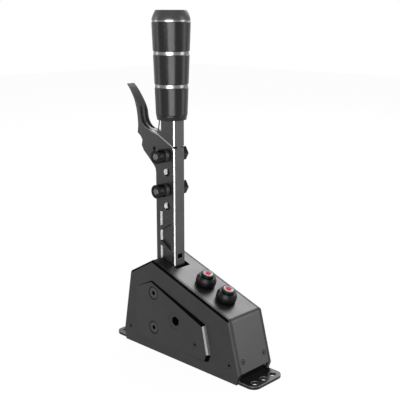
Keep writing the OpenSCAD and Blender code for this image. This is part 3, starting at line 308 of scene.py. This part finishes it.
# Flat screw heads: a dark ring of painted shade round each, for the gap at its edge
SIDE_HEAD = ringed("side_head_coat", 40, 14, SIDE_AXES, gap=(2.3 * MM, 3.2 * MM), beyond=True)
SHAFT_HEAD = ringed("shaft_head_coat", 44, 2, SHAFT_AXES, gap=(5.3 * MM, 5.9 * MM))
COVER_HEAD = ringed("cover_head_coat", 62, 2, COVER_AXES, gap=(1.9 * MM, 2.4 * MM), mask=ALONG)

# Materials of the lever and the trigger

# The lever's coats and its front bevels are painted shade, nearly black, below SLOT_LEVEL, inside the case
LEVER = coated("lever_coat", 26, 0.34, specular=0.3, depth=FINE, shade_below=SLOT_LEVEL)
# The lever's front faces: the lever coat made lighter, painted light from the front
LEVER_FACE = coated("lever_front_painted_light", 50, 0.34, specular=0.34, depth=FINE, shade_below=SLOT_LEVEL)
# Lever and trigger edges: lighter, for wear and a painted highlight
LEVER_EDGE = coated("lever_edge_wear_and_highlight", 70, 0.32, specular=0.5)
# The lever plates' upward bevels near the top: painted highlight, light grey
LEVER_SOFT = coated("lever_chamfer_painted_highlight", 110, 0.32, specular=0.5)
# The lever's long front bevels: painted highlight, near-white bare metal
CHAMFER_BRIGHT = metal("front_chamfer_painted_highlight", 195, 0.3, metallic=0.3, shade_below=SLOT_LEVEL)
# Forward-facing walls of the lever's bores and windows: painted highlight, near white
BORE = metal("bore_wall_painted_highlight", 225, 0.35, metallic=0.3)
TRIGGER = coated("trigger_coat", 38, 0.36, specular=0.2, depth=FINE)
# The clamp bolts' sockets and the faces round them: painted highlight, grey on the black bolt
SOCKET = coated("socket_painted_highlight", 96, 0.4, specular=0.4, grain=1400, depth=SMOOTH)
SPACER = coated("spacer_coat", 30, 0.34, specular=0.25, depth=SMOOTH)
HEAD = coated("flat_head_coat", 40, 0.34, specular=0.35, depth=SMOOTH)
# The block screws' head bevels: painted shade, dark, for the gap round each head
HEAD_EDGE = coated("flat_head_rim_painted_shade", 8, 0.5, specular=0.05)

# Materials of the grip and the buttons

GRIP = coated("grip_coat", 8, 0.25, specular=0.3, depth=SMOOTH)
GRIP_CAP = coated("grip_cap_coat", 34, 0.32, specular=0.4, depth=SMOOTH)
# Grip edges: lighter, for wear and a painted highlight
GRIP_EDGE = coated("grip_edge_wear_and_highlight", 50, 0.3, specular=0.5)
KNURL = coated("knurled_coat", 7, 0.22, specular=0.27, depth=0.005 * MM)
RING = metal("grip_ring_steel", 118, 0.27, brush=(1, 1, 12))
BUTTON_RING = metal("button_ring_steel", 118, 0.4, metallic=0.6)
BUTTON = plastic("button_plastic", 5, 0.4, specular=0.13)
# Button edges: lighter, for wear and a painted highlight
BUTTON_EDGE = plastic("button_plastic_edge_wear_and_highlight", 18, 0.4, specular=0.3)
# The red lens glows faintly: painted light
LENS = plastic("lens_red", (176, 6, 40), 0.5, specular=0.06, emit=0.2)

# Materials of what the case holds

STEEL = metal("plain_steel", 168, 0.35)
ALUMINIUM = metal("plain_aluminium", 150, 0.42)
BRASS = metal("brass", (190, 160, 96), 0.35)
RUBBER = plastic("rubber", 20, 0.75, specular=0.2)
BOARD = plastic("board_green", (28, 84, 54), 0.45, coat=0.2)
SPRING_STEEL = metal("spring_steel", 190, 0.3)
SPRING_DARK = coated("spring_dark", 30, 0.35)

# Finish of each CAD piece: its material, that of its bevelled edges (the lighter ones are wear and painted
# highlight), their width in mm, the pieces

FINISH = [
    (CASE, CASE_EDGE, 0.2, SIDE_PLATES),
    (COVER, CASE_EDGE, 0.15, ["top_cover"]),
    (BASE, BASE_EDGE, 0.3, ["base_plate"]),
    (BASE, BASE_EDGE, 0.2, ["front_mount_block", "rear_mount_block"]),
    (LEVER, LEVER_EDGE, 0.2, [*LEVER_PLATES, "pivot_block", "handle_bar"]),
    (TRIGGER, LEVER_EDGE, 0.35, ["trigger"]),
    (SCREW, SCREW_EDGE, 0.15, ["base_screws", "grip_screw", "trigger_pin", "clamp_washers"]),
    (SCREW, SCREW_EDGE, 0.25, ["clamp_bolts", "clamp_nuts"]),
    (SPACER, SCREW_EDGE, 0.25, ["clamp_spacers"]),
    (HEAD, HEAD_EDGE, 0.3, ["block_screws"]),
    (SHAFT_HEAD, SHAFT_HEAD, 0, ["shaft_screws"]),
    (SIDE_HEAD, SIDE_HEAD, 0, ["side_screws"]),
    (COVER_HEAD, COVER_HEAD, 0, ["cover_screws"]),
    (GRIP, GRIP_EDGE, 0.2, ["grip_core", "grip_collar"]),
    (GRIP_CAP, GRIP_EDGE, 0.2, ["grip_cap"]),
    (RING, RING, 0, ["grip_rings"]),
    (BUTTON, BUTTON_EDGE, 0.3, ["button_bodies"]),
    (BUTTON, BUTTON_EDGE, 0.25, ["upper_button_cap", "lower_button_cap"]),
    (BUTTON_RING, BUTTON_RING, 0.1, ["upper_button_ring", "lower_button_ring"]),
    (LENS, LENS, 0.3, ["upper_button_lens", "lower_button_lens"]),
    (STEEL, STEEL, 0, ["cross_spacer", "pivot_shaft", "stop_shaft", "front_plunger", "rear_plunger"]),
    (STEEL, STEEL, 0, ["board_screws", "usb_socket", "button_nuts", "pivot_bearings", "lever_magnet"]),
    (ALUMINIUM, ALUMINIUM, 0.2, ["pivot_spacers"]),
    (HOUSING, HOUSING, 0, ["front_spring_housing", "rear_spring_housing"]),
    # The spring adjusters and their lock screws, inside the case, are painted shade, near black
    (HOLLOW, HOLLOW, 0, ["spring_adjusters", "adjuster_lock_screws"]),
    (BRASS, BRASS, 0, ["board_standoffs"]),
    (RUBBER, RUBBER, 0, ["stop_sleeve"]),
    (SPRING_STEEL, SPRING_STEEL, 0, ["front_spring", "rear_spring"]),
    (SPRING_STEEL, SPRING_STEEL, 0, ["upper_button_spring", "lower_button_spring"]),
    (SPRING_DARK, SPRING_DARK, 0, ["trigger_spring"]),
    (BOARD, BOARD, 0, ["main_board", "sensor_board", "connector_board", "trigger_sensor"]),
]
WELD_GAP = 0.002 * MM
EDGE_ANGLE = 28


def dress(name, material, edge, width):
    """Gives a CAD piece its material, and bevels its edges by width with the edge material."""
    obj = nodes[name]
    obj.data.materials.clear()
    obj.data.materials.append(material)
    for polygon in obj.data.polygons:
        polygon.material_index = 0
    if not width:
        return
    obj.data.materials.append(edge)
    weld = obj.modifiers.new("weld", "WELD")
    weld.merge_threshold = WELD_GAP
    bevel = obj.modifiers.new("edges", "BEVEL")
    bevel.width = width
    bevel.segments = 2
    bevel.limit_method = "ANGLE"
    bevel.angle_limit = math.radians(EDGE_ANGLE)
    bevel.harden_normals = False
    bevel.material = 1
    bevel.use_clamp_overlap = True


for material, edge, width, names in FINISH:
    for name in names:
        dress(name, material, edge, width * MM)


# Faces with a material of their own, most of it painted highlight or painted shade: each test takes a
# face's centre and its normal

# Shares of a normal along an axis
SQUARE = 0.9
FORWARD = 0.7
SLANTED = 0.5
UPWARD = 0.3
EDGE_ON = 0.1


def faces(name, material, test):
    """Gives the faces of a CAD piece that pass test(centre, normal) another material."""
    data = nodes[name].data
    data.materials.append(material)
    index = len(data.materials) - 1
    for polygon in data.polygons:
        if test(polygon.center, polygon.normal):
            polygon.material_index = index


def near_axis(centre, axes, mask, radius):
    """True for a face within radius of one of the axes, which run along the direction the mask drops."""
    flat = Vector(c * m for c, m in zip(centre, mask))
    return any((flat - Vector(axis)).length < radius for axis in axes)


def on_chamfer(normal):
    """True for a bevel between a plate's broad side and its rim."""
    return SLANTED < abs(normal.y) < SQUARE


def plate_front(centre, normal):
    """True for the faces that look forward at the lever's front, or just behind it."""
    return normal.x > SQUARE and centre.x > LEVER_FRONT - FRONT_REACH


def bright_chamfer(centre, normal):
    """True for the lever's long bevels, at 45 degrees between its front and its sides."""
    aligned = 0.95
    return any(normal.dot(Vector(way).normalized()) > aligned for way in ((1, -1, 0), (1, 1, 0)))


def inner_side(centre, normal):
    """True for the broad sides that face the gap between the lever's plates."""
    return abs(centre.y) < HALF_TONGUE + 0.1 * MM and abs(normal.y) > SQUARE


def bore_wall(centre, normal):
    """True for the walls of the lever plates' bores and windows that look forward, which get a painted
    highlight.
    """
    low, high = BORE_LEVELS
    forward = normal.x > FORWARD and abs(normal.y) < EDGE_ON
    return forward and centre.x < LEVER_FRONT - BORE_REACH and low < centre.z < high


def shoulder_corner(centre, normal):
    """True for the upper front corner of the lever plates' rim."""
    upward = normal.z > UPWARD and abs(normal.y) < EDGE_ON
    return upward and centre.z > CORNER_LEVEL and centre.x > CORNER_BACK


def bolt_socket(centre, normal):
    """True for the sockets in the heads of the clamp bolts."""
    low, high = BOLT_SOCKET_Y
    return near_axis(centre, BOLT_AXES, ACROSS, BOLT_SOCKET_R) and low < centre.y < high


for name in SIDE_PLATES:
    # Painted shade on the chamfers that face up or down, painted highlight on those that face forward
    faces(name, CHAMFER_DARK, lambda c, n: on_chamfer(n) and (n.z > UPWARD or n.z < -EDGE_ON))
    faces(name, CHAMFER_SOFT, lambda c, n: on_chamfer(n) and n.x > SLANTED and c.x > PANEL_END)
    faces(name, PANEL_FRONT, lambda c, n: on_chamfer(n) and n.x > SLANTED and n.z > 0 and c.x < PANEL_END)
    # The access hole's wall: painted shade
    faces(name, HOLLOW, lambda c, n: abs(n.y) < EDGE_ON and near_axis(c, ACCESS_AXES, ACROSS, ACCESS_R))
    for polygon in nodes[name].data.polygons:
        polygon.use_smooth = polygon.use_smooth and abs(polygon.normal.y) < SQUARE
for name in LEVER_PLATES:
    # Lever plates: painted light on the fronts, bevels and bore walls, painted shade in the gaps and the
    # upper corner
    faces(name, LEVER_FACE, plate_front)
    faces(name, CHAMFER_BRIGHT, bright_chamfer)
    faces(name, LEVER_SOFT, lambda c, n: on_chamfer(n) and n.z > UPWARD and c.z > SHOULDER_LEVEL)
    # The sides that face the gap between the plates: painted shade
    faces(name, HOLLOW, inner_side)
    faces(name, BORE, bore_wall)
    # The plates' upper front corner: painted shade
    faces(name, HOLLOW, shoulder_corner)
faces("handle_bar", LEVER_FACE, plate_front)
faces("handle_bar", CHAMFER_BRIGHT, bright_chamfer)
faces("pivot_block", LEVER_FACE, plate_front)
# The notch between bar and pivot block, and the gap between the plates: painted shade
for name in ("pivot_block", "handle_bar"):
    faces(name, HOLLOW, lambda c, n: abs(n.z) > SQUARE and c.z < NOTCH_LEVEL)
    faces(name, HOLLOW, inner_side)
# The screws' sockets: painted shade
faces("shaft_screws", HOLLOW, lambda c, n: near_axis(c, SHAFT_AXES, ACROSS, SHAFT_SOCKET_R))
faces("side_screws", HOLLOW, lambda c, n: near_axis(c, SIDE_AXES, ACROSS, SIDE_SOCKET_R))
faces("cover_screws", HOLLOW, lambda c, n: near_axis(c, COVER_AXES, ALONG, COVER_SOCKET_R))
faces("clamp_bolts", SOCKET, bolt_socket)


# Knurled sleeves

GRIP_X = -29.3 * MM
SLEEVE_BORE_R = 13 * MM
SLEEVE_CHAMFER = 0.5 * MM
PLAIN_DEPTH = 0.05 * MM  # how far the plain ends lie under the knurl's tips
KNURL_PITCH = 1.6 * MM
KNURL_DEPTH = 0.08 * MM

# Name, lower and upper end, and the radius at each, in mm
SLEEVES = [
    ("sleeve_low", 231.9, 257.7, 14.85, 15.83),
    ("sleeve_middle", 260.6, 287.6, 15.941, 16.967),
    ("sleeve_top", 290.5, 317.1, 17.077, 18.088),
]

def sleeve_rings(z0, z1, r0, r1):
    """Height, radius and knurl depth of each ring of vertices, from the bore's foot to its top."""
    margin = 1.3 * SLEEVE_CHAMFER
    rows = round((z1 - z0 - 3 * SLEEVE_CHAMFER) / KNURL_PITCH) * 2 + 1
    foot = [
        (z0, SLEEVE_BORE_R, 0),
        (z0, r0 - SLEEVE_CHAMFER, 0),
        (z0 + SLEEVE_CHAMFER, r0 - PLAIN_DEPTH, 0),
    ]
    wall = []
    for i in range(rows):
        z = z0 + margin + (i + 0.5) / rows * (z1 - z0 - 2 * margin)
        wall.append((z, r0 + (r1 - r0) * (z - z0) / (z1 - z0), KNURL_DEPTH))
    top = [
        (z1 - SLEEVE_CHAMFER, r1 - PLAIN_DEPTH, 0),
        (z1, r1 - SLEEVE_CHAMFER, 0),
        (z1, SLEEVE_BORE_R, 0),
    ]
    return foot + wall + top


def knurled_sleeve(name, z0, z1, r0, r1):
    """A sleeve whose wall carries a diamond knurl, with plain chamfered ends."""
    around = round(2 * math.pi * r1 / KNURL_PITCH) * 2
    mesh = bmesh.new()
    grid = []
    for j, (z, r, depth) in enumerate(sleeve_rings(z0, z1, r0, r1)):
        row = []
        for i in range(around):
            a = 2 * math.pi * i / around
            low = depth if (i + j) % 2 else 0
            row.append(mesh.verts.new((GRIP_X + (r - low) * math.cos(a), (r - low) * math.sin(a), z)))
        grid.append(row)
    grid.append(grid[0])
    for a, b in zip(grid, grid[1:]):
        for i in range(around):
            k = (i + 1) % around
            mesh.faces.new((a[i], a[k], b[k], b[i]))
    bmesh.ops.recalc_face_normals(mesh, faces=mesh.faces)
    data = bpy.data.meshes.new(name)
    mesh.to_mesh(data)
    mesh.free()
    obj = bpy.data.objects.new(name, data)
    scene.collection.objects.link(obj)
    data.materials.append(KNURL)
    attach(obj, "lever")
    return obj


for name, *sizes in SLEEVES:
    sleeve = knurled_sleeve(name, *(size * MM for size in sizes))
    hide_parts("grip_sleeves")


# Copies of the springs, each attached to its body in place of the CAD piece

def pressed_spring(name, body):
    """A copy of the named spring, attached to body; the CAD piece is hidden."""
    obj = bpy.data.objects.new(name + "_wire", nodes[name].data.copy())
    scene.collection.objects.link(obj)
    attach(obj, body)
    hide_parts(name)
    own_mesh(obj)


pressed_spring("front_spring", "case")
pressed_spring("rear_spring", "case")
pressed_spring("upper_button_spring", "case")
pressed_spring("lower_button_spring", "case")
pressed_spring("trigger_spring", "lever")


# Studio: floor, surroundings and lights

WHITE = (1, 1, 1, 1)
SURROUNDINGS = (0.45, 0.45, 0.46, 1)
FLOOR_WHITE_SHARE = 0.96
FLOOR_SIZE = 6
FLOOR_DROP = 0.2 * MM
PART_MIDDLE = (0, 0, 0.12)
HANDLE_MIDDLE = (0, 0, 0.2)


def area_light(name, place, target, size, power):
    """A soft box at place, turned to target, size metres across."""
    data = bpy.data.lights.new(name, "AREA")
    data.shape = "RECTANGLE"
    data.size, data.size_y = size
    data.energy = power
    obj = bpy.data.objects.new(name, data)
    scene.collection.objects.link(obj)
    obj.location = place
    obj.rotation_euler = (Vector(target) - Vector(place)).to_track_quat("-Z", "Y").to_euler()


def seen_directly(tree):
    """1 for rays from the camera, a reflection or glass, 0 for the light that falls on the part."""
    path = tree.nodes.new("ShaderNodeLightPath")
    total = path.outputs["Is Camera Ray"]
    for name in ("Is Glossy Ray", "Is Transmission Ray"):
        larger = tree.nodes.new("ShaderNodeMath")
        larger.operation = "MAXIMUM"
        tree.links.new(total, larger.inputs[0])
        tree.links.new(path.outputs[name], larger.inputs[1])
        total = larger.outputs["Value"]
    return total


def floor_material():
    """Pale floor that shows white, with a share of the part's soft shadow."""
    s = Shader("studio_floor", roughness=0.9, specular=0.0)
    s.colour(s.ramp(s.noise(scale=3, detail=2), srgb(247), srgb(250)))
    glow = s.node("ShaderNodeEmission")
    glow.inputs["Color"].default_value = WHITE
    share = s.node("ShaderNodeMath", operation="MULTIPLY")
    share.inputs[1].default_value = FLOOR_WHITE_SHARE
    s.link(seen_directly(s.tree), share.inputs[0])
    mix = s.node("ShaderNodeMixShader")
    s.link(share.outputs["Value"], mix.inputs["Fac"])
    s.link(s.bsdf.outputs["BSDF"], mix.inputs[1])
    s.link(glow.outputs["Emission"], mix.inputs[2])
    s.link(mix.outputs["Shader"], s.tree.nodes["Material Output"].inputs["Surface"])
    return s.material


def surroundings():
    """A grey world that lights the part, and a white one where it is seen directly."""
    world = bpy.data.worlds.new("studio")
    scene.world = world
    world.use_nodes = True
    tree = world.node_tree
    grey = tree.nodes["Background"]
    grey.inputs["Color"].default_value = SURROUNDINGS
    grey.inputs["Strength"].default_value = 1.0
    white = tree.nodes.new("ShaderNodeBackground")
    white.inputs["Color"].default_value = WHITE
    white.inputs["Strength"].default_value = 1.0
    mix = tree.nodes.new("ShaderNodeMixShader")
    tree.links.new(seen_directly(tree), mix.inputs["Fac"])
    tree.links.new(grey.outputs["Background"], mix.inputs[1])
    tree.links.new(white.outputs["Background"], mix.inputs[2])
    tree.links.new(mix.outputs["Shader"], tree.nodes["World Output"].inputs["Surface"])


bpy.ops.mesh.primitive_plane_add(size=FLOOR_SIZE, location=(0, 0, -FLOOR_DROP))
floor = bpy.context.object
floor.name = "studio_floor"
floor.data.materials.append(floor_material())
surroundings()
area_light("back_top", (-0.7, 1.25, 1.25), PART_MIDDLE, size=(1.4, 1.0), power=20)
area_light("front_right", (1.5, 0.9, 0.4), PART_MIDDLE, size=(0.7, 1.4), power=14)
area_light("left_rear", (-1.4, -0.9, 0.3), PART_MIDDLE, size=(0.5, 1.4), power=8)
area_light("camera_side", (0.72, -1.09, 0.1), HANDLE_MIDDLE, size=(0.95, 1.2), power=52)


# Camera, with its turn round the part and its tilt down in degrees

CAMERA_TURN = 43.96
CAMERA_TILT = 13.7
camera_data = bpy.data.cameras.new("camera")
camera_data.lens = 70.65
camera_data.sensor_width = 36
camera = bpy.data.objects.new("camera", camera_data)
camera.location = (0.4991, -0.5099, 0.3285)
camera.rotation_euler = (math.radians(90 - CAMERA_TILT), 0, math.radians(CAMERA_TURN))
scene.collection.objects.link(camera)
scene.camera = camera

scene.view_settings.view_transform = "Standard"
